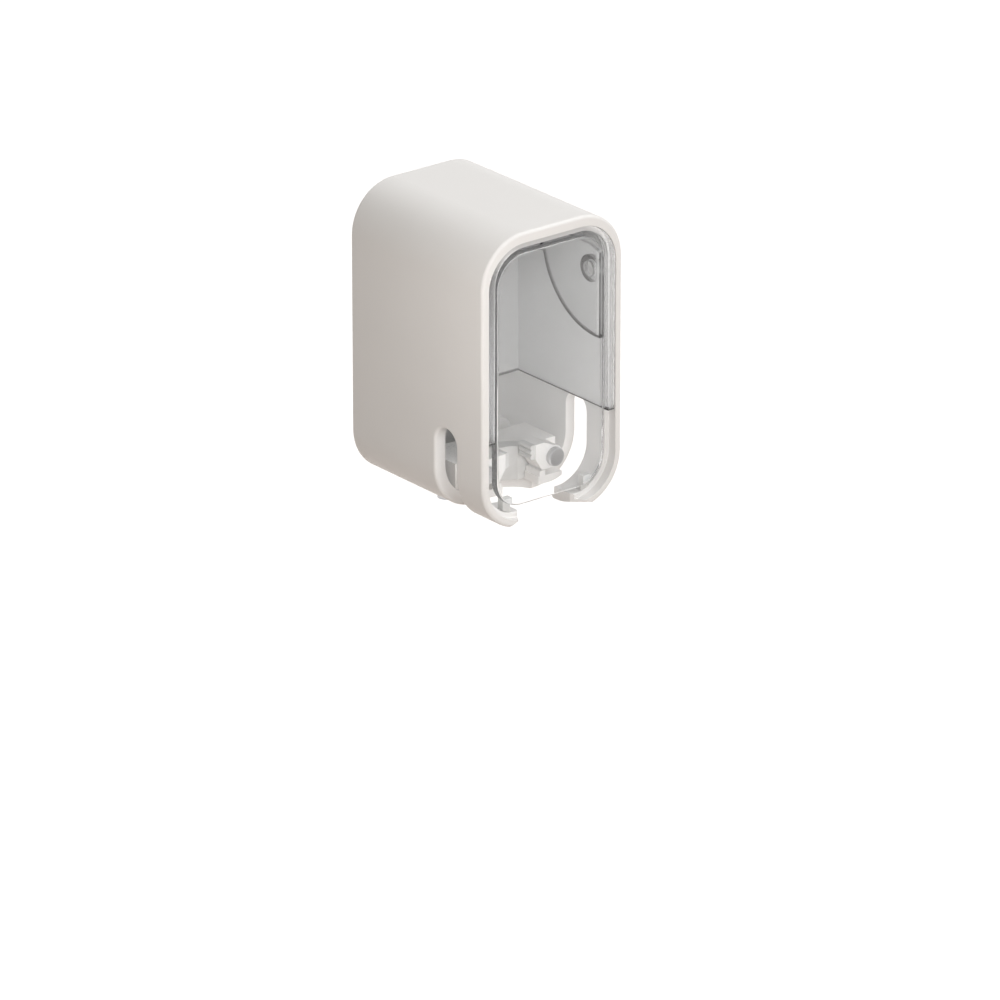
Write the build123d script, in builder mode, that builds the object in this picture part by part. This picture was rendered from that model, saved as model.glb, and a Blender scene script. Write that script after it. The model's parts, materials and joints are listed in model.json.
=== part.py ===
# Wall-mounted holder for one electric brush head, with a clear flip cover and two gravity jaws.
# Millimetres. The origin is the middle of the adhesive pad's back face, where it meets the wall.
# +Z is up, +Y points into the wall, and the open front of the housing faces -Y.
import math
import os

from build123d import *

os.makedirs("parts", exist_ok=True)

# Housing shell, a rounded tube that runs from front to back
shell_width = 34.0
shell_height = 59.8
shell_depth = 40.6
shell_corner = 10.0
wall = 2.5
rebate_width = 1.0
rebate_depth = 2.0
rim_round = 0.7
rebate_drop = 0.6
lip_round = 0.35

# Wall fixing
pad_width = 22.0
pad_height = 26.0
pad_thickness = 1.0
pad_corner = 3.5
wall_gap = 0.3
bracket_width = 24.0
bracket_height = 28.0
bracket_thickness = 2.0
bracket_corner = 4.0
stem_width = 10.0
hook_width = 16.0
hook_height = 12.0
hook_thickness = 2.2
lift_travel = 12.5

# Running clearances
free_gap = 0.3
close_gap = 0.1
running_fit = 0.05

# Back plate and its screws
plate_thickness = 2.5
screw_x = 10.9
screw_z = 23.7
post_radius = 2.5
post_length = 6.0
screw_radius = 0.9
screw_length = 7.0
screw_head_radius = 1.9
screw_head_height = 1.2

# Tinted liner, a hood of a top and two sides
liner_top = 0.5
liner_side_top = 0.7
liner_side_bottom = 0.5
liner_end = 29.4
liner_back = 1.0
liner_bottom_z = -11.4
flange_setback = 0.3

# Flip cover and its pivot, with depths measured back from the front face
pivot_depth = 5.0
pivot_z = 16.9
cover_face = 0.5
cover_thickness = 1.5
cover_half_width = 13.2
cover_top_z = 25.6
cover_bottom_z = -25.6
cover_top_corner = 6.5
cover_bottom_corner = 6.2
cover_edge_round = 0.5
ear_thickness = 0.8
ear_radius = 16.6
ear_centre_depth = 2.8
ear_centre_z = 20.1
ear_top_z = 21.8
ear_shoulder = 9.0
ear_front_z = 20.6
stud_radius = 1.6
stud_collar_radius = 2.7
stud_collar_rim = 13.7
bumper_x = 9.6
bumper_width = 1.8
bumper_top_z = -23.9
bumper_depth = 1.5

# Neck gap and the slot that the jaws work in
gap_half_width = 6.5
gap_centre_depth = 12.6
gap_flare = 1.8
scoop_angle = math.radians(51)
scoop_x = 9.5
scoop_depth = 4.7
scoop_radius = 7.5
scoop_reach = 6.0
slot_front = 8.2
slot_width = 6.4
slot_top_z = -11.0
slot_round = 0.6

# Jaw carrier
carrier_front = 14.7
carrier_rear = 24.0
carrier_half_width = 12.0
carrier_top_z = -20.4
tongue_front = 10.4
tongue_half_width = 10.2
tongue_notch = 4.4
tongue_thickness = 1.6
stop_height = 1.1
carrier_screw_x = 9.4
carrier_screw_depth = 20.6
carrier_screw_length = 6.0

# Jaws
jaw_front = 10.4
jaw_thickness = 4.0
jaw_pivot_x = 8.2
jaw_pivot_z = -22.2
jaw_hub_radius = 2.2
jaw_tip_x = 3.7
jaw_top_z = -18.9
jaw_grip_z = -21.9
jaw_foot_z = -24.4
jaw_pad_thickness = 1.2
washer_radius = 2.0
washer_thickness = 0.2
pin_radius = 1.1
pin_head_radius = 1.9
pin_head_height = 1.0
pin_seat = 3.6
cradle_inner_radius = 3.8
cradle_outer_radius = 6.7

# Places worked out from the values above
rear_y = -(pad_thickness + wall_gap)
front_y = rear_y - shell_depth
inner_width = shell_width - 2 * wall
inner_height = shell_height - 2 * wall
inner_corner = shell_corner - wall
fit_width = inner_width - 2 * close_gap
fit_height = inner_height - 2 * close_gap
fit_corner = inner_corner - close_gap
floor_z = -inner_height / 2
bracket_front_y = -(pad_thickness + bracket_thickness)
plate_rear_y = bracket_front_y - free_gap
plate_front_y = plate_rear_y - plate_thickness
slot_rear = slot_front + slot_width
slot_middle = slot_front + slot_width / 2


def back_from_front(depth):
    """Y of a point that lies this far behind the front face."""
    return front_y + depth


def on_outside(edge):
    """True for an edge that lies on the shell's outer surface."""
    point = edge.position_at(0.5)
    across = max(abs(point.X) - (shell_width / 2 - shell_corner), 0)
    up = max(abs(point.Z) - (shell_height / 2 - shell_corner), 0)
    return abs((across**2 + up**2) ** 0.5 - shell_corner) < 0.01


def upright(y):
    """Plane across the housing at this Y, drawn as seen from the front."""
    return Plane.XZ.offset(-y)


def side_on(x):
    """Plane along the housing at this X, with local X running back and local Y up."""
    return Plane.YZ.offset(x)


# Housing shell
with BuildPart() as shell:
    with BuildSketch(upright(rear_y)):
        RectangleRounded(shell_width, shell_height, shell_corner)
    extrude(amount=shell_depth)
    fillet(shell.edges().group_by(Axis.Y)[0], rim_round)
    fillet(shell.edges().group_by(Axis.Y)[-1], rim_round)
    with BuildSketch(upright(rear_y)):
        RectangleRounded(inner_width, inner_height, inner_corner)
    extrude(amount=shell_depth, mode=Mode.SUBTRACT)
    with BuildSketch(upright(back_from_front(rebate_depth))):
        with Locations((0, -rebate_drop / 2)):
            RectangleRounded(
                inner_width + 2 * rebate_width,
                inner_height + 2 * rebate_width - rebate_drop,
                inner_corner + rebate_width,
            )
    extrude(amount=rebate_depth, mode=Mode.SUBTRACT)
    rebate_floor = shell.faces().filter_by(Axis.Y).sort_by(Axis.Y)[1]
    fillet(rebate_floor.inner_wires()[0].edges(), lip_round)
    # Posts in the rear corners that take the back plate's screws
    with BuildSketch(upright(plate_front_y)):
        with Locations(*[(i * screw_x, j * screw_z) for i in (-1, 1) for j in (-1, 1)]):
            Circle(post_radius)
    extrude(amount=post_length)
    with BuildSketch(upright(plate_front_y)):
        with Locations(*[(i * screw_x, j * screw_z) for i in (-1, 1) for j in (-1, 1)]):
            Circle(screw_radius)
    extrude(amount=screw_length - plate_thickness + screw_head_height, mode=Mode.SUBTRACT)
    # Gap in the bottom that the neck of the brush goes through, flared at its mouth
    with BuildSketch(Plane.XY.offset(-shell_height / 2)):
        with BuildLine():
            Polyline(
                (-gap_half_width - gap_flare, front_y),
                (-gap_half_width, front_y + 1.5 * gap_flare),
                (gap_half_width, front_y + 1.5 * gap_flare),
                (gap_half_width + gap_flare, front_y),
                close=True,
            )
        make_face()
        with Locations((0, back_from_front(gap_centre_depth))):
            Circle(gap_half_width)
        with Locations((0, back_from_front(gap_centre_depth / 2))):
            Rectangle(2 * gap_half_width, gap_centre_depth)
    extrude(amount=wall, mode=Mode.SUBTRACT)
    # Scoops that raise the front corners of the underside beside the gap
    for side in (-1, 1):
        scoop_plane = Plane(
            origin=(side * scoop_x, back_from_front(scoop_depth), -shell_height / 2),
            x_dir=(-side * math.cos(scoop_angle), -math.sin(scoop_angle), 0),
            z_dir=(-math.sin(scoop_angle), side * math.cos(scoop_angle), 0),
        )
        with BuildSketch(scoop_plane):
            with Locations((scoop_reach / 2, scoop_reach / 4)):
                Rectangle(scoop_reach, scoop_reach / 2)
            with Locations((0, scoop_radius)):
                Circle(scoop_radius, mode=Mode.SUBTRACT)
        extrude(amount=scoop_reach, both=True, mode=Mode.SUBTRACT)
    # Slot across both sides and the bottom for the jaws
    with BuildSketch(side_on(-shell_width / 2)):
        with Locations((back_from_front(slot_middle), slot_top_z - slot_width / 2)):
            Circle(slot_width / 2)
        with Locations((back_from_front(slot_middle), (slot_top_z - slot_width / 2 - shell_height / 2) / 2)):
            Rectangle(slot_width, shell_height / 2 + slot_top_z - slot_width / 2)
    extrude(amount=shell_width, mode=Mode.SUBTRACT)
    # Sunk holes in the underside for the carrier's screws
    with BuildSketch(Plane.XY.offset(-shell_height / 2)):
        with Locations(*[(i * carrier_screw_x, back_from_front(carrier_screw_depth)) for i in (-1, 1)]):
            Circle(screw_head_radius + close_gap)
    extrude(amount=free_gap + screw_head_height, mode=Mode.SUBTRACT)
    with BuildSketch(Plane.XY.offset(-shell_height / 2)):
        with Locations(*[(i * carrier_screw_x, back_from_front(carrier_screw_depth)) for i in (-1, 1)]):
            Circle(screw_radius + close_gap)
    extrude(amount=2 * wall, mode=Mode.SUBTRACT)
    slot_edges = shell.edges().filter_by_position(
        Axis.Y, back_from_front(slot_front) - 0.01, back_from_front(slot_rear) + 0.01
    )
    fillet(slot_edges.filter_by(on_outside), slot_round)
shell.part.label = "shell"
export_step(shell.part, "parts/shell.step")

# Back plate with the keyhole that hangs on the bracket
with BuildPart() as back_plate:
    with BuildSketch(upright(plate_rear_y)):
        RectangleRounded(fit_width, fit_height, fit_corner)
    extrude(amount=plate_thickness)
    keyhole_top = hook_height + close_gap
    keyhole_middle = -free_gap
    keyhole_bottom = -(lift_travel + 2 * free_gap)
    with BuildSketch(upright(plate_rear_y)):
        with Locations((0, (keyhole_top + keyhole_middle) / 2)):
            Rectangle(stem_width + 2 * free_gap, keyhole_top - keyhole_middle)
        with Locations((0, (keyhole_middle + keyhole_bottom) / 2)):
            Rectangle(hook_width + 2 * free_gap, keyhole_middle - keyhole_bottom)
    extrude(amount=plate_thickness, mode=Mode.SUBTRACT)
    with Locations(upright(plate_rear_y)):
        with Locations(*[(i * screw_x, j * screw_z, 0) for i in (-1, 1) for j in (-1, 1)]):
            Cylinder(
                screw_head_radius + close_gap,
                screw_head_height,
                align=(Align.CENTER, Align.CENTER, Align.MIN),
                mode=Mode.SUBTRACT,
            )
            Cylinder(
                screw_radius + close_gap,
                plate_thickness,
                align=(Align.CENTER, Align.CENTER, Align.MIN),
                mode=Mode.SUBTRACT,
            )
back_plate.part.label = "back_plate"
export_step(back_plate.part, "parts/back_plate.step")

# Four screws that hold the back plate
with BuildPart() as back_plate_screws:
    with Locations(upright(plate_rear_y)):
        with Locations(*[(i * screw_x, j * screw_z, 0) for i in (-1, 1) for j in (-1, 1)]):
            Cylinder(
                screw_head_radius,
                screw_head_height,
                align=(Align.CENTER, Align.CENTER, Align.MIN),
            )
            Cylinder(
                screw_radius,
                screw_length,
                align=(Align.CENTER, Align.CENTER, Align.MIN),
            )
            with Locations((0, 0, 0)):
                Box(
                    2.4,
                    0.5,
                    0.6,
                    align=(Align.CENTER, Align.CENTER, Align.MIN),
                    mode=Mode.SUBTRACT,
                )
                Box(
                    0.5,
                    2.4,
                    0.6,
                    align=(Align.CENTER, Align.CENTER, Align.MIN),
                    mode=Mode.SUBTRACT,
                )
back_plate_screws.part.label = "back_plate_screws"
export_step(back_plate_screws.part, "parts/back_plate_screws.step")

# Tinted liner: a hood inside the shell, with a flange that fills the rebate
liner_inner_top_z = fit_height / 2 - liner_top
liner_inner_x_top = fit_width / 2 - liner_side_top
liner_inner_x_bottom = fit_width / 2 - liner_side_bottom
with BuildPart() as liner:
    with BuildSketch(upright(back_from_front(liner_end))):
        RectangleRounded(fit_width, fit_height, fit_corner)
    extrude(amount=liner_end - flange_setback)
    with BuildSketch(upright(back_from_front(rebate_depth))):
        with Locations((0, -rebate_drop / 2)):
            RectangleRounded(
                fit_width + 2 * rebate_width,
                fit_height + 2 * rebate_width - rebate_drop,
                fit_corner + rebate_width,
            )
    extrude(amount=rebate_depth - flange_setback)
    # Inside of the hood, with draft on its sides and a back wall left standing
    with BuildSketch(upright(back_from_front(liner_end - liner_back))):
        with BuildLine():
            Polyline(
                (-liner_inner_x_bottom, liner_bottom_z - 1),
                (-liner_inner_x_top, liner_inner_top_z),
                (liner_inner_x_top, liner_inner_top_z),
                (liner_inner_x_bottom, liner_bottom_z - 1),
                close=True,
            )
        make_face()
        fillet(vertices().group_by(Axis.Y)[-1], inner_corner - liner_side_top)
    extrude(amount=liner_end, mode=Mode.SUBTRACT)
    # Everything below the hood's lower edge goes
    with BuildSketch(upright(back_from_front(liner_end))):
        with Locations((0, (liner_bottom_z - shell_height / 2) / 2)):
            Rectangle(shell_width, shell_height / 2 + liner_bottom_z)
    extrude(amount=liner_end, mode=Mode.SUBTRACT)
    # Holes that the cover's studs press into
    with BuildSketch(side_on(-shell_width / 2)):
        with Locations((back_from_front(pivot_depth), pivot_z)):
            Circle(stud_radius)
    extrude(amount=shell_width, mode=Mode.SUBTRACT)
liner.part.label = "liner"
export_step(liner.part, "parts/liner.step")

# Clear flip cover: a front plate with two quarter-round ears
ear_front_y = back_from_front(cover_face + cover_thickness / 2)
with BuildPart() as cover:
    with BuildSketch(upright(back_from_front(cover_face + cover_thickness))):
        with Locations((0, (cover_top_z + cover_bottom_z) / 2)):
            Rectangle(2 * cover_half_width, cover_top_z - cover_bottom_z)
        fillet(vertices().group_by(Axis.Y)[-1], cover_top_corner)
        fillet(vertices().group_by(Axis.Y)[0], cover_bottom_corner)
    extrude(amount=cover_thickness)
    cover_front_edges = cover.edges().group_by(Axis.Y)[0]
    top_edges = cover_front_edges.filter_by_position(
        Axis.Z, cover_top_z - cover_top_corner, cover_top_z, inclusive=(False, True)
    )
    fillet(top_edges, cover_edge_round)
    for side in (-1, 1):
        ear_x = side * (cover_half_width - ear_thickness / 2) - ear_thickness / 2
        with BuildSketch(side_on(ear_x)):
            with BuildLine():
                CenterArc((back_from_front(ear_centre_depth), ear_centre_z), ear_radius, -90, 90)
                Polyline(
                    (back_from_front(ear_centre_depth + ear_radius), ear_centre_z),
                    (back_from_front(pivot_depth + ear_shoulder), ear_top_z),
                    (back_from_front(pivot_depth), ear_top_z),
                    (ear_front_y, ear_front_z),
                    (ear_front_y, ear_centre_z - ear_radius),
                    (back_from_front(ear_centre_depth), ear_centre_z - ear_radius),
                )
            make_face()
        extrude(amount=ear_thickness)
    with BuildSketch(side_on(-shell_width / 2)):
        with Locations((back_from_front(pivot_depth), pivot_z)):
            Circle(stud_radius + running_fit)
    extrude(amount=shell_width, mode=Mode.SUBTRACT)
cover.part.label = "cover"
export_step(cover.part, "parts/cover.step")

# Pivot studs: pressed into the liner, with a collar between it and the cover's ear
collar_thickness = stud_collar_rim - cover_half_width - close_gap
for side, name in ((-1, "cover_stud_left"), (1, "cover_stud_right")):
    stud_plane = Plane(
        origin=(side * (fit_width / 2), back_from_front(pivot_depth), pivot_z),
        z_dir=(-side, 0, 0),
    )
    with BuildPart() as stud:
        with BuildSketch(stud_plane):
            Circle(stud_radius)
        extrude(amount=fit_width / 2 - cover_half_width + ear_thickness + free_gap)
        with BuildSketch(stud_plane.offset(fit_width / 2 - stud_collar_rim)):
            Circle(stud_collar_radius)
        extrude(amount=collar_thickness)
        fillet(stud.edges().filter_by(GeomType.CIRCLE).sort_by(Axis.X)[-1 if side < 0 else 0], 0.25)
    stud.part.label = name
    export_step(stud.part, f"parts/{name}.step")

# Two soft bumpers in the shell's lower corners, where the closed cover rests
bumper_front = cover_face + cover_thickness + running_fit
with BuildPart() as cover_bumpers:
    with BuildSketch(upright(back_from_front(bumper_front + bumper_depth))):
        RectangleRounded(fit_width, fit_height, fit_corner)
        with Locations(*[(i * bumper_x, bumper_top_z - shell_height / 4) for i in (-1, 1)]):
            Rectangle(bumper_width, shell_height / 2, mode=Mode.INTERSECT)
    extrude(amount=bumper_depth)
cover_bumpers.part.label = "cover_bumpers"
export_step(cover_bumpers.part, "parts/cover_bumpers.step")

# Jaw carrier: a block behind the slot, with a tongue under each jaw
with BuildPart() as jaw_carrier:
    with BuildSketch(upright(back_from_front(carrier_rear))):
        RectangleRounded(fit_width, fit_height, fit_corner)
        with Locations((0, carrier_top_z - shell_height / 4)):
            Rectangle(2 * carrier_half_width, shell_height / 2, mode=Mode.INTERSECT)
    extrude(amount=carrier_rear - carrier_front)
    with BuildSketch(Plane.XY.offset(floor_z)):
        with Locations((0, back_from_front(gap_centre_depth))):
            Circle(cradle_outer_radius + close_gap)
    extrude(amount=shell_height / 2, mode=Mode.SUBTRACT)
    tongue_top_z = floor_z + close_gap + tongue_thickness
    with BuildSketch(upright(back_from_front(carrier_front))):
        RectangleRounded(fit_width, fit_height, fit_corner)
        tongue_x = (tongue_half_width + tongue_notch) / 2
        with Locations(*[(i * tongue_x, tongue_top_z - shell_height / 4) for i in (-1, 1)]):
            Rectangle(tongue_half_width - tongue_notch, shell_height / 2, mode=Mode.INTERSECT)
    extrude(amount=carrier_front - tongue_front)
    # Stops that the closed jaws lie on
    with BuildSketch(upright(back_from_front(carrier_front))):
        with Locations(*[(i * (tongue_notch + 1), tongue_top_z + stop_height / 2) for i in (-1, 1)]):
            Rectangle(1.4, stop_height)
    extrude(amount=carrier_front - tongue_front)
    # Seats for the pivot pins, and holes for the screws from below
    with BuildSketch(upright(back_from_front(carrier_front + pin_seat))):
        with Locations(*[(i * jaw_pivot_x, jaw_pivot_z) for i in (-1, 1)]):
            Circle(pin_radius)
    extrude(amount=pin_seat, mode=Mode.SUBTRACT)
    with BuildSketch(Plane.XY.offset(-shell_height / 2)):
        with Locations(*[(i * carrier_screw_x, back_from_front(carrier_screw_depth)) for i in (-1, 1)]):
            Circle(screw_radius)
    extrude(amount=carrier_screw_length + close_gap, mode=Mode.SUBTRACT)
jaw_carrier.part.label = "jaw_carrier"
export_step(jaw_carrier.part, "parts/jaw_carrier.step")

# Two screws that hold the carrier, their heads sunk in the shell's underside
with BuildPart() as carrier_screws:
    with BuildSketch(Plane.XY.offset(-shell_height / 2 + free_gap)):
        with Locations(*[(i * carrier_screw_x, back_from_front(carrier_screw_depth)) for i in (-1, 1)]):
            Circle(screw_head_radius)
    extrude(amount=screw_head_height)
    with BuildSketch(Plane.XY.offset(-shell_height / 2 + free_gap)):
        with Locations(*[(i * carrier_screw_x, back_from_front(carrier_screw_depth)) for i in (-1, 1)]):
            Circle(screw_radius)
    extrude(amount=carrier_screw_length - free_gap)
    with BuildSketch(Plane.XY.offset(-shell_height / 2 + free_gap)):
        with Locations(*[(i * carrier_screw_x, back_from_front(carrier_screw_depth)) for i in (-1, 1)]):
            Rectangle(2.4, 0.5)
            Rectangle(0.5, 2.4)
    extrude(amount=0.6, mode=Mode.SUBTRACT)
carrier_screws.part.label = "carrier_screws"
export_step(carrier_screws.part, "parts/carrier_screws.step")

# Thrust washers between the jaws and the carrier
with BuildPart() as jaw_washers:
    with BuildSketch(upright(back_from_front(carrier_front))):
        with Locations(*[(i * jaw_pivot_x, jaw_pivot_z) for i in (-1, 1)]):
            Circle(washer_radius)
            Circle(pin_radius, mode=Mode.SUBTRACT)
    extrude(amount=washer_thickness)
jaw_washers.part.label = "jaw_washers"
export_step(jaw_washers.part, "parts/jaw_washers.step")

# Jaws, grip pads and pivot pins, one of each on either side
jaw_rear_y = back_from_front(jaw_front + jaw_thickness)
for side, end in ((-1, "left"), (1, "right")):
    with BuildPart() as jaw:
        with BuildSketch(upright(jaw_rear_y)):
            with BuildLine():
                Polyline(
                    (side * jaw_tip_x, jaw_top_z),
                    (side * jaw_tip_x, jaw_grip_z),
                    (side * (jaw_tip_x + 1.6), jaw_foot_z),
                    (side * jaw_pivot_x, jaw_foot_z),
                    (side * (jaw_pivot_x + 1.6), jaw_pivot_z + 1.5),
                    (side * (jaw_tip_x + 2.2), jaw_top_z),
                    close=True,
                )
            make_face()
            with Locations((side * jaw_pivot_x, jaw_pivot_z)):
                Circle(jaw_hub_radius)
        extrude(amount=jaw_thickness)
        with BuildSketch(upright(jaw_rear_y)):
            with Locations((side * jaw_pivot_x, jaw_pivot_z)):
                Circle(pin_radius + running_fit)
        extrude(amount=jaw_thickness, mode=Mode.SUBTRACT)
    jaw.part.label = f"jaw_{end}"
    export_step(jaw.part, f"parts/jaw_{end}.step")

    # Soft pad on the jaw's nose, with three ribs that face the neck
    pad_height_z = jaw_top_z - jaw_grip_z
    with BuildPart() as jaw_pad:
        with BuildSketch(upright(jaw_rear_y - 0.2)):
            with Locations((side * (jaw_tip_x - jaw_pad_thickness / 4), jaw_top_z - pad_height_z / 2)):
                Rectangle(jaw_pad_thickness / 2, pad_height_z)
            for i in (-1, 0, 1):
                with Locations((
                    side * (jaw_tip_x - jaw_pad_thickness / 2),
                    jaw_top_z - pad_height_z / 2 + i * pad_height_z / 3,
                )):
                    Circle(pad_height_z / 6)
            with Locations((side * (jaw_tip_x + 2), jaw_top_z - pad_height_z / 2)):
                Rectangle(4, 2 * pad_height_z, mode=Mode.SUBTRACT)
        extrude(amount=jaw_thickness - 0.4)
    jaw_pad.part.label = f"jaw_pad_{end}"
    export_step(jaw_pad.part, f"parts/jaw_pad_{end}.step")

    # Shouldered pivot pin, headed at the front and pressed into the carrier
    pin_front = jaw_front - running_fit
    with BuildPart() as jaw_pin:
        with BuildSketch(upright(back_from_front(carrier_front + pin_seat))):
            with Locations((side * jaw_pivot_x, jaw_pivot_z)):
                Circle(pin_radius)
        extrude(amount=carrier_front + pin_seat - pin_front)
        with BuildSketch(upright(back_from_front(pin_front))):
            with Locations((side * jaw_pivot_x, jaw_pivot_z)):
                Circle(pin_head_radius)
        extrude(amount=pin_head_height)
        fillet(jaw_pin.edges().filter_by(GeomType.CIRCLE).sort_by(Axis.Y)[0], 0.35)
    jaw_pin.part.label = f"jaw_pin_{end}"
    export_step(jaw_pin.part, f"parts/jaw_pin_{end}.step")

# Soft cradle behind the neck, in the carrier's round notch
cradle_front = carrier_front + free_gap
with BuildPart() as neck_cradle:
    with BuildSketch(Plane.XY.offset(floor_z + close_gap)):
        with Locations((0, back_from_front(gap_centre_depth))):
            Circle(cradle_outer_radius)
            Circle(cradle_inner_radius, mode=Mode.SUBTRACT)
        with Locations((0, back_from_front(cradle_front - shell_width / 2))):
            Rectangle(shell_width, shell_width, mode=Mode.SUBTRACT)
    extrude(amount=carrier_top_z - floor_z - close_gap)
neck_cradle.part.label = "neck_cradle"
export_step(neck_cradle.part, "parts/neck_cradle.step")

# Wall bracket with a headed hook, and the adhesive pad behind it
with BuildPart() as wall_bracket:
    with BuildSketch(upright(-pad_thickness)):
        RectangleRounded(bracket_width, bracket_height, bracket_corner)
    extrude(amount=bracket_thickness)
    fillet(wall_bracket.edges().group_by(Axis.Y)[0], 0.5)
    with BuildSketch(upright(bracket_front_y)):
        with Locations((0, hook_height / 2)):
            Rectangle(stem_width, hook_height)
    extrude(amount=plate_thickness + 2 * free_gap)
    with BuildSketch(upright(plate_front_y - free_gap)):
        with Locations((0, hook_height / 2)):
            Rectangle(hook_width, hook_height)
    extrude(amount=hook_thickness)
    fillet(wall_bracket.edges().group_by(Axis.Y)[0], 0.5)
wall_bracket.part.label = "wall_bracket"
export_step(wall_bracket.part, "parts/wall_bracket.step")

with BuildPart() as adhesive_pad:
    with BuildSketch(upright(0)):
        RectangleRounded(pad_width, pad_height, pad_corner)
    extrude(amount=pad_thickness)
adhesive_pad.part.label = "adhesive_pad"
export_step(adhesive_pad.part, "parts/adhesive_pad.step")
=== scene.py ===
"""Looks of the wall-mounted toothbrush holder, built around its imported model. Metres."""

import json
import math

import bpy
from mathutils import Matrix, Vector

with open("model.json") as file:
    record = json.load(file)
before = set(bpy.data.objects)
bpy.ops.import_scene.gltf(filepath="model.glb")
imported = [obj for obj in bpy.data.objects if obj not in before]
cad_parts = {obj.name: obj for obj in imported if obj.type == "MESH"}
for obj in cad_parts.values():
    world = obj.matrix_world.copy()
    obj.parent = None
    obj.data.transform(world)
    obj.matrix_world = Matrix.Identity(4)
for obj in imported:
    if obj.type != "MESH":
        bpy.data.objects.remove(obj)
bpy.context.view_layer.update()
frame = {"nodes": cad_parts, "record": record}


# Material helpers

class Nodes:
    """A new material with its node tree, and short calls to add and link nodes."""

    def __init__(self, name):
        self.material = bpy.data.materials.new(name)
        self.material.use_nodes = True
        self.tree = self.material.node_tree
        self.tree.nodes.clear()
        self.output = self.add("ShaderNodeOutputMaterial")
        coordinates = self.add("ShaderNodeTexCoord")
        self.place = coordinates.outputs["Object"]
        self.facing = coordinates.outputs["Normal"]

    def add(self, kind, **values):
        """A new node, with these properties."""
        node = self.tree.nodes.new(kind)
        for key, value in values.items():
            setattr(node, key, value)
        return node

    def feed(self, socket, value):
        """Link a socket to another one, or set its value."""
        if isinstance(value, bpy.types.NodeSocket):
            self.tree.links.new(value, socket)
        else:
            socket.default_value = value

    def noise(self, size, detail, stretch=(1, 1, 1)):
        """Noise whose main features are about this many metres across."""
        mapping = self.add("ShaderNodeMapping")
        mapping.inputs["Scale"].default_value = stretch
        self.feed(mapping.inputs["Vector"], self.place)
        noise = self.add("ShaderNodeTexNoise")
        noise.inputs["Scale"].default_value = 1 / size
        noise.inputs["Detail"].default_value = detail
        self.feed(noise.inputs["Vector"], mapping.outputs["Vector"])
        return noise.outputs["Fac"]

    def spread(self, factor, low, high, start=0.3, end=0.7):
        """A number between low and high, as factor runs from start to end."""
        node = self.add("ShaderNodeMapRange")
        limits = {"From Min": start, "From Max": end, "To Min": low, "To Max": high}
        for key, value in limits.items():
            node.inputs[key].default_value = value
        self.feed(node.inputs["Value"], factor)
        return node.outputs["Result"]

    def shades(self, factor, first, second, start=0.3, end=0.7):
        """A colour between first and second, as factor runs from start to end."""
        ramp = self.add("ShaderNodeValToRGB")
        stops = zip(ramp.color_ramp.elements, (start, end), (first, second))
        for element, place, colour in stops:
            element.position = place
            element.color = (*colour, 1)
        self.feed(ramp.inputs["Fac"], factor)
        return ramp.outputs["Color"]

    def parts(self, vector):
        """The X, Y and Z of a vector socket."""
        node = self.add("ShaderNodeSeparateXYZ")
        self.feed(node.inputs["Vector"], vector)
        return node.outputs

    def math(self, operation, *values):
        """One step of arithmetic on sockets or numbers."""
        node = self.add("ShaderNodeMath", operation=operation)
        for socket, value in zip(node.inputs, values):
            self.feed(socket, value)
        return node.outputs["Value"]

    def mixed(self, factor, first, second):
        """The first colour where factor is 0, and the second, a plain colour, where it is 1."""
        node = self.add("ShaderNodeMixRGB")
        self.feed(node.inputs["Fac"], factor)
        self.feed(node.inputs["Color1"], first)
        self.feed(node.inputs["Color2"], (*second, 1))
        return node.outputs["Color"]

    def bump(self, height, depth, strength, before=None):
        """Bump of this many metres from a height that runs from 0 to 1, over the bump before it."""
        bump = self.add("ShaderNodeBump")
        bump.inputs["Strength"].default_value = strength
        bump.inputs["Distance"].default_value = depth
        self.feed(bump.inputs["Height"], height)
        if before:
            self.feed(bump.inputs["Normal"], before)
        return bump.outputs["Normal"]

    def principled(self, **values):
        """A Principled shader. Its sockets are named with _ for each space."""
        shader = self.add("ShaderNodeBsdfPrincipled")
        for key, value in values.items():
            self.feed(shader.inputs[key.replace("_", " ")], value)
        return shader.outputs["BSDF"]

    def diffuse(self, colour):
        """A Diffuse shader of a colour from a socket."""
        shader = self.add("ShaderNodeBsdfDiffuse")
        self.feed(shader.inputs["Color"], colour)
        return shader.outputs["BSDF"]

    def blend(self, factor, first, second):
        """The first shader where factor is 0, and the second where it is 1."""
        node = self.add("ShaderNodeMixShader")
        for socket, value in zip(node.inputs, (factor, first, second)):
            self.feed(socket, value)
        return node.outputs["Shader"]

    def finish(self, shader):
        """The material, with this shader on its surface."""
        self.feed(self.output.inputs["Surface"], shader)
        return self.material


def straight_rays(tree):
    """1 for rays of the camera, of gloss and through clear plastic, and 0 for rays of light."""
    path = tree.nodes.new("ShaderNodeLightPath")
    total = path.outputs["Is Camera Ray"]
    for ray in ("Is Glossy Ray", "Is Transmission Ray"):
        most = tree.nodes.new("ShaderNodeMath")
        most.operation = "MAXIMUM"
        tree.links.new(total, most.inputs[0])
        tree.links.new(path.outputs[ray], most.inputs[1])
        total = most.outputs["Value"]
    return total


# Masks of painted shade and shares of scattered light for the clear parts, in each object's own
# frame.
# x, y and z are sockets. A centre is (y, z), as seen from the side.

ears_inner_x = 0.0122
cover_plate_rear_y = -0.0398
cover_sides_rear_y = -0.03985
# Painted shade on the ears' arcs starts at this radius round the arc's centre.
ear_arc_centre = (-0.0391, 0.0201)
ear_arc_dark_radius = 0.016
pivot = (-0.0369, 0.0169)
pivot_ring_radius = 0.0027
# The disc left unpainted on each stud lies forward of the pivot, so that the painted shade round it
# is a crescent
stud_pale_centre = (-0.0377, 0.0167)
stud_pale_radius = 0.0022
rim_softness = 0.0001

ear_joint_front_y = -0.0394
ear_joint_rear_y = -0.0386
ear_joint_share = 0.5
ear_share = 0.12

# Below this height the hood's edge is painted near black as shade.
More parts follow.
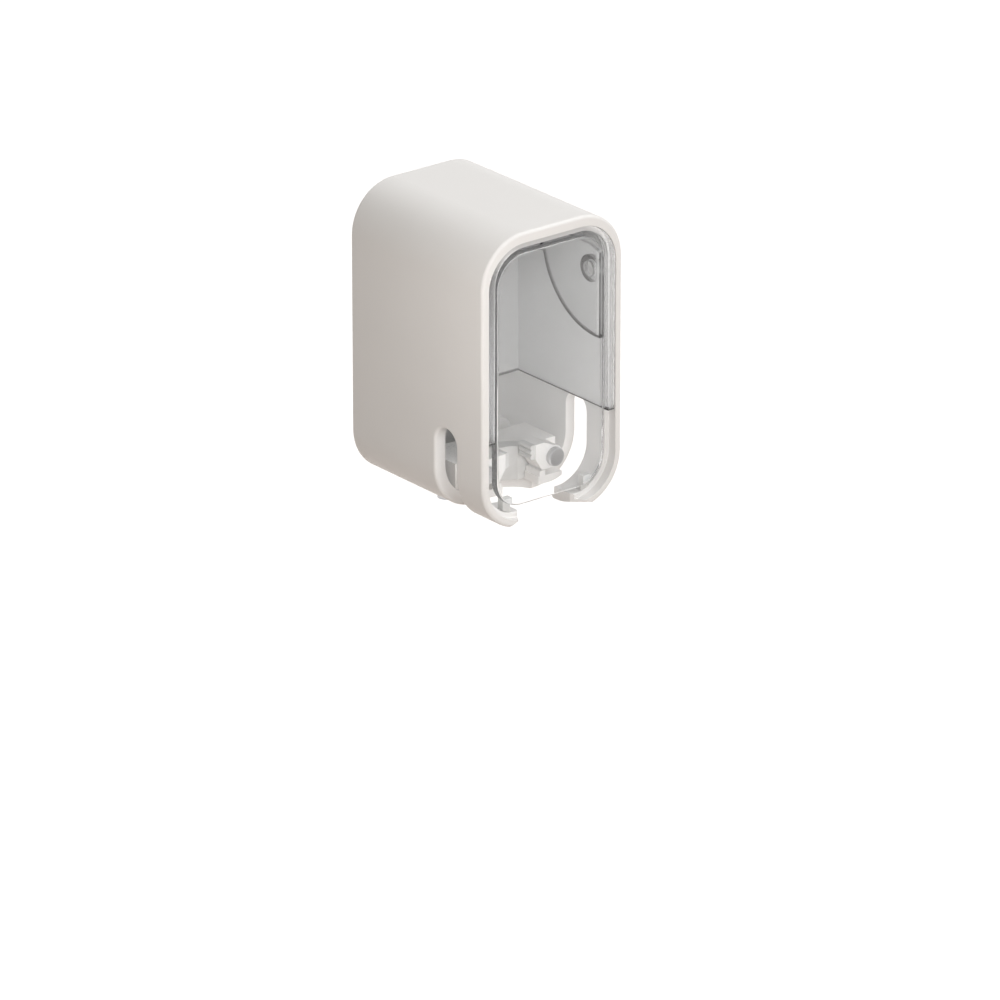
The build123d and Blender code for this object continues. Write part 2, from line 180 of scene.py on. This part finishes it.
hood_dark_below_z = -0.01115
hood_walls_front_y = -0.0385
hood_wall_normal = 0.9
hood_wall_share = 0.34
flange_rear_y = -0.0397

top_frost_start_z = 0.021
top_frost_end_z = 0.026
normal_tolerance = 0.5


def distance(n, y, z, centre):
    """How far a point is from a centre, seen from the side."""
    centre_y, centre_z = centre
    back = n.math("POWER", n.math("SUBTRACT", y, centre_y), 2.0)
    up = n.math("POWER", n.math("SUBTRACT", z, centre_z), 2.0)
    return n.math("SQRT", n.math("ADD", back, up))


def at_the_ears(n, x, y):
    """Mask for what lies behind the cover's plate and no farther in than the ears."""
    outward = n.math("GREATER_THAN", n.math("ABSOLUTE", x), ears_inner_x)
    return n.math("MULTIPLY", outward, n.math("GREATER_THAN", y, cover_plate_rear_y))


def round_edge(n, x, y, z, centre, radius):
    """Mask for what lies at the ears and farther from a centre than this radius."""
    edge = n.spread(distance(n, y, z, centre), 0, 1, radius, radius + rim_softness)
    return n.math("MULTIPLY", edge, at_the_ears(n, x, y))


def stud_shade(n, x, y, z):
    """Mask for the painted shade on the rear crescent of the studs."""
    return round_edge(n, x, y, z, stud_pale_centre, stud_pale_radius)


def ear_edges_painted_shade(n, x, y, z):
    """Mask for painted shade on the ears' sawn arcs, and on the rear of the ring where each turns
    on its stud.
    """
    arc = round_edge(n, x, y, z, ear_arc_centre, ear_arc_dark_radius)
    ring = n.math("LESS_THAN", distance(n, y, z, pivot), pivot_ring_radius)
    return n.math("MAXIMUM", arc, n.math("MULTIPLY", ring, stud_shade(n, x, y, z)))


def hood_low_edge_painted_shade(n, x, y, z):
    """Mask for painted shade on the lower edge of the hood."""
    return n.math("LESS_THAN", z, hood_dark_below_z)


def forward_faces(n, y, z, facing_y, rear_y, share, top_share):
    """Share for faces forward of rear_y, turned with facing_y as their normal's Y.

    It rises to top_share at the top of the opening.
    """
    turned = n.math("COMPARE", n.parts(n.facing)[1], facing_y, normal_tolerance)
    face = n.math("MULTIPLY", turned, n.math("LESS_THAN", y, rear_y))
    level = n.spread(z, share, top_share, top_frost_start_z, top_frost_end_z)
    return n.math("MULTIPLY", face, level)


def hood_frost(n, x, y, z):
    """Shares for the hood: its side walls, and its flange's front, most at the top."""
    sideways = n.math("GREATER_THAN", n.math("ABSOLUTE", n.parts(n.facing)[0]), hood_wall_normal)
    wall = n.math("MULTIPLY", sideways, n.math("GREATER_THAN", y, hood_walls_front_y))
    flange = forward_faces(n, y, z, facing_y=-1, rear_y=flange_rear_y, share=0.02, top_share=0.55)
    return n.math("MAXIMUM", n.math("MULTIPLY", wall, hood_wall_share), flange)


def cover_frost(n, x, y, z):
    """Shares for the cover: its sawn outline and its ears, most where these join the plate."""
    outline = forward_faces(
        n, y, z, facing_y=0, rear_y=cover_sides_rear_y, share=0.1, top_share=0.25,
    )
    joint_to_ear = n.spread(y, ear_joint_share, ear_share, ear_joint_front_y, ear_joint_rear_y)
    return n.math("MAXIMUM", outline, n.math("MULTIPLY", at_the_ears(n, x, y), joint_to_ear))


# Materials

# Painted shade: near-black colours laid on the clear parts' edges and studs, standing in for how
# dark these look from inside.
painted_edge_shade = (0.02, 0.02, 0.02)
hazy_painted_edge_shade = (0.05, 0.05, 0.05)
haze_low = (0.92, 0.925, 0.93)
haze_high = (0.95, 0.955, 0.96)
foam_cells_per_metre = 4000


def moulded(name, light, dark, roughness, grain=0.00022, depth=0.000012):
    """Opaque moulded plastic with a fine spark texture and faint flow clouds."""
    n = Nodes(name)
    clouds = n.noise(size=0.012, detail=4)
    speckle = n.noise(size=grain, detail=2)
    waves = n.noise(size=grain * 4, detail=2)
    shader = n.principled(
        Base_Color=n.shades(clouds, dark, light),
        Roughness=n.spread(speckle, roughness - 0.05, roughness + 0.07),
        Normal=n.bump(waves, depth * 1.4, 0.35, before=n.bump(speckle, depth, 0.5)),
        IOR=1.48,
    )
    return n.finish(shader)


def see_through(name, tint, roughness, haze, dark, frost=None):
    """Clear plastic that shadow rays pass through. Haze is the share of light that it scatters.

    dark is a mask for edges painted near black as shade, standing in for how black clear edges look
    from inside. frost gives the share that some faces scatter.
    """
    n = Nodes(name)
    ripple = n.noise(size=0.009, detail=2)
    dust = n.noise(size=0.0016, detail=4)
    place = n.parts(n.place)
    # Painted shade: where the dark mask holds, the clear and the scattered colours turn near black.
    shade = dark(n, *place)
    clear_colour = n.shades(ripple, [part * 0.985 for part in tint], tint)
    haze_colour = n.shades(ripple, haze_low, haze_high)
    clear = n.principled(
        Base_Color=n.mixed(shade, clear_colour, painted_edge_shade),
        Roughness=n.spread(dust, 0.0, roughness),
        Transmission_Weight=1.0,
        IOR=1.49,
        Specular_IOR_Level=0.2,
        Normal=n.bump(ripple, 0.00002, 0.1),
    )
    scattered = n.spread(dust, 0.8 * haze, 1.2 * haze)
    if frost:
        scattered = n.math("MAXIMUM", scattered, frost(n, *place))
    matt = n.diffuse(n.mixed(shade, haze_colour, hazy_painted_edge_shade))
    hazy = n.blend(scattered, clear, matt)
    passing = n.add("ShaderNodeBsdfTransparent")
    passing.inputs["Color"].default_value = (*tint, 1)
    is_shadow = n.add("ShaderNodeLightPath").outputs["Is Shadow Ray"]
    return n.finish(n.blend(is_shadow, hazy, passing.outputs["BSDF"]))


def elastomer(name, light, dark):
    """Soft moulded rubber, matt and slightly blotchy."""
    n = Nodes(name)
    blotches = n.noise(size=0.003, detail=5)
    grain = n.noise(size=0.00012, detail=2)
    shader = n.principled(
        Base_Color=n.shades(blotches, dark, light),
        Roughness=n.spread(grain, 0.55, 0.75),
        Normal=n.bump(grain, 0.00001, 0.6),
        Sheen_Weight=0.15,
        Sheen_Roughness=0.4,
    )
    return n.finish(shader)


def turned_steel(name):
    """Plain steel with fine turning marks."""
    n = Nodes(name)
    marks = n.noise(size=0.0002, detail=3, stretch=(6, 0.5, 6))
    shader = n.principled(
        Base_Color=n.shades(marks, (0.42, 0.42, 0.43), (0.58, 0.58, 0.59), start=0.25, end=0.75),
        Metallic=1.0,
        Roughness=n.spread(marks, 0.22, 0.38),
        Normal=n.bump(marks, 0.000004, 0.5),
    )
    return n.finish(shader)


def foam_tape(name):
    """Closed-cell foam with small open cells on its cut edge."""
    n = Nodes(name)
    voronoi = n.add("ShaderNodeTexVoronoi")
    voronoi.inputs["Scale"].default_value = foam_cells_per_metre
    n.feed(voronoi.inputs["Vector"], n.place)
    cells = voronoi.outputs["Distance"]
    shader = n.principled(
        Base_Color=n.shades(cells, (0.60, 0.60, 0.59), (0.74, 0.74, 0.73), start=0.1, end=0.6),
        Roughness=0.85,
        Normal=n.bump(cells, 0.00005, 0.7),
    )
    return n.finish(shader)


looks = {
    "shell_white": (moulded, {
        "light": (0.80, 0.793, 0.784), "dark": (0.787, 0.78, 0.77), "roughness": 0.48,
    }),
    # Painted shade: a darker copy of the white plastic, for the back plate and wall bracket at the
    # rear of the cavity.
    "plate_white_painted_shade": (moulded, {
        "light": (0.67, 0.667, 0.66), "dark": (0.655, 0.651, 0.645), "roughness": 0.5,
    }),
    "inner_white": (moulded, {
        "light": (0.82, 0.812, 0.80), "dark": (0.80, 0.79, 0.776), "roughness": 0.3,
        "grain": 0.0004, "depth": 0.000005,
    }),
    # The dark masks of the clear parts lay painted shade on their edges and studs.
    "liner_smoke": (see_through, {
        "tint": (0.98, 0.982, 0.985), "roughness": 0.03, "haze": 0.14,
        "dark": hood_low_edge_painted_shade, "frost": hood_frost,
    }),
    "cover_clear": (see_through, {
        "tint": (0.99, 0.992, 0.992), "roughness": 0.02, "haze": 0.03,
        "dark": ear_edges_painted_shade, "frost": cover_frost,
    }),
    "stud_clear": (see_through, {
        "tint": (0.97, 0.975, 0.975), "roughness": 0.02, "haze": 0.03, "dark": stud_shade,
    }),
    "soft_grey": (elastomer, {"light": (0.62, 0.62, 0.61), "dark": (0.56, 0.56, 0.55)}),
    "screw_steel": (turned_steel, {}),
    "foam_tape": (foam_tape, {}),
}
materials = {name: make(name, **values) for name, (make, values) in looks.items()}

# Nodes whose material isn't the one that the record's slot names
own_finish = {
    # The back plate and bracket take the darker copy of the white plastic as painted shade.
    "back_plate": "plate_white_painted_shade",
    "wall_bracket": "plate_white_painted_shade",
    "cover_stud_left": "stud_clear",
    "cover_stud_right": "stud_clear",
}
for entry in frame["record"]["subparts"]:
    node = frame["nodes"][entry["node"]]
    finish = own_finish.get(entry["node"], entry["material_slot"])
    node.data.materials.clear()
    node.data.materials.append(materials[finish])


# Floor, world and lamps

floor_size = 40
floor_z = -0.35
floor_glow = 0.8
floor_glow_colour = (0.94, 0.975, 1, 1)
world_light = (0.28, 0.263, 0.242, 1)
world_white = (1, 1, 1, 1)


def backdrop():
    """A pale floor, far below the holder, that glows white to straight rays and keeps a shadow."""
    n = Nodes("floor_white")
    clouds = n.noise(size=0.15, detail=3)
    diffuse = n.diffuse(n.shades(clouds, (0.64, 0.565, 0.515), (0.66, 0.585, 0.535)))
    glow = n.add("ShaderNodeEmission")
    glow.inputs["Color"].default_value = floor_glow_colour
    n.feed(glow.inputs["Strength"], n.math("MULTIPLY", straight_rays(n.tree), floor_glow))
    both = n.add("ShaderNodeAddShader")
    n.feed(both.inputs[0], diffuse)
    n.feed(both.inputs[1], glow.outputs["Emission"])
    bpy.ops.mesh.primitive_plane_add(size=floor_size, location=(0, 0, floor_z))
    floor = bpy.context.object
    floor.name = "floor"
    floor.data.materials.append(n.finish(both.outputs["Shader"]))


def surroundings():
    """White to straight rays, and a plain soft warm grey as light."""
    world = bpy.data.worlds.new("studio")
    bpy.context.scene.world = world
    world.use_nodes = True
    tree = world.node_tree
    tree.nodes.clear()
    background = tree.nodes.new("ShaderNodeBackground")
    output = tree.nodes.new("ShaderNodeOutputWorld")
    colour = tree.nodes.new("ShaderNodeMixRGB")
    colour.inputs["Color1"].default_value = world_light
    colour.inputs["Color2"].default_value = world_white
    tree.links.new(straight_rays(tree), colour.inputs["Fac"])
    tree.links.new(colour.outputs["Color"], background.inputs["Color"])
    tree.links.new(background.outputs["Background"], output.inputs["Surface"])


def lamp(name, place, aim, size, power, colour, mirrored=False):
    """A square area lamp. Only a mirrored one can show in gloss and through clear parts."""
    data = bpy.data.lights.new(name, "AREA")
    data.size = size
    data.energy = power
    data.color = colour
    obj = bpy.data.objects.new(name, data)
    bpy.context.collection.objects.link(obj)
    obj.location = place
    obj.rotation_euler = (Vector(aim) - Vector(place)).to_track_quat("-Z", "Y").to_euler()
    obj.visible_camera = False
    obj.visible_glossy = mirrored
    obj.visible_transmission = mirrored


backdrop()
surroundings()

middle = (0, -0.02, 0)
left_rim = (-0.017, -0.03, 0)
wall_middle = (0, 0, 0)
cool = (0.99, 0.993, 1.0)
white = (1.0, 1.0, 1.0)
warm = (1.0, 0.99, 0.98)
warmer = (1.0, 0.97, 0.94)
warm_behind = (1.0, 0.99, 0.97)
lamp("key", (0.90, -0.35, 1.15), middle, size=0.8, power=11.4, colour=cool, mirrored=True)
lamp("top", (0.20, 0.30, 1.40), middle, size=0.6, power=3.2, colour=cool, mirrored=True)
lamp("front", (-0.10, -0.55, 0.09), middle, size=0.2, power=0.95, colour=white)
lamp("side", (-0.30, -0.45, 0.30), middle, size=0.2, power=0.76, colour=warm)
lamp("near", (-0.060, -0.066, 0.022), left_rim, size=0.035, power=0.0102, colour=warmer)
lamp("back", (0.10, 0.55, 0.08), wall_middle, size=0.2, power=1.15, colour=warm_behind)


# Camera, fitted to the housing's outline in the photo. Its distance is from the front face's
# middle, and its aim lies left of and below that middle, which keeps the photo's framing.

front_middle = Vector((0, -0.0419, 0))
azimuth = math.radians(39)
elevation = math.radians(21.3)
camera_distance = 1.667
aim_left = 0.00995
aim_below = 0.0243

toward = Vector((
    -math.sin(azimuth) * math.cos(elevation),
    -math.cos(azimuth) * math.cos(elevation),
    math.sin(elevation),
))
right = Vector((math.cos(azimuth), -math.sin(azimuth), 0))
up = toward.cross(right)
eye = front_middle + camera_distance * toward
aim = front_middle - aim_left * right - aim_below * up
camera_data = bpy.data.cameras.new("camera")
camera_data.lens = 316
camera_data.sensor_width = 36
camera_data.clip_end = 100
camera = bpy.data.objects.new("camera", camera_data)
bpy.context.collection.objects.link(camera)
camera.location = eye
camera.rotation_euler = (aim - eye).to_track_quat("-Z", "Y").to_euler()
bpy.context.scene.camera = camera
bpy.context.scene.view_settings.view_transform = "Standard"
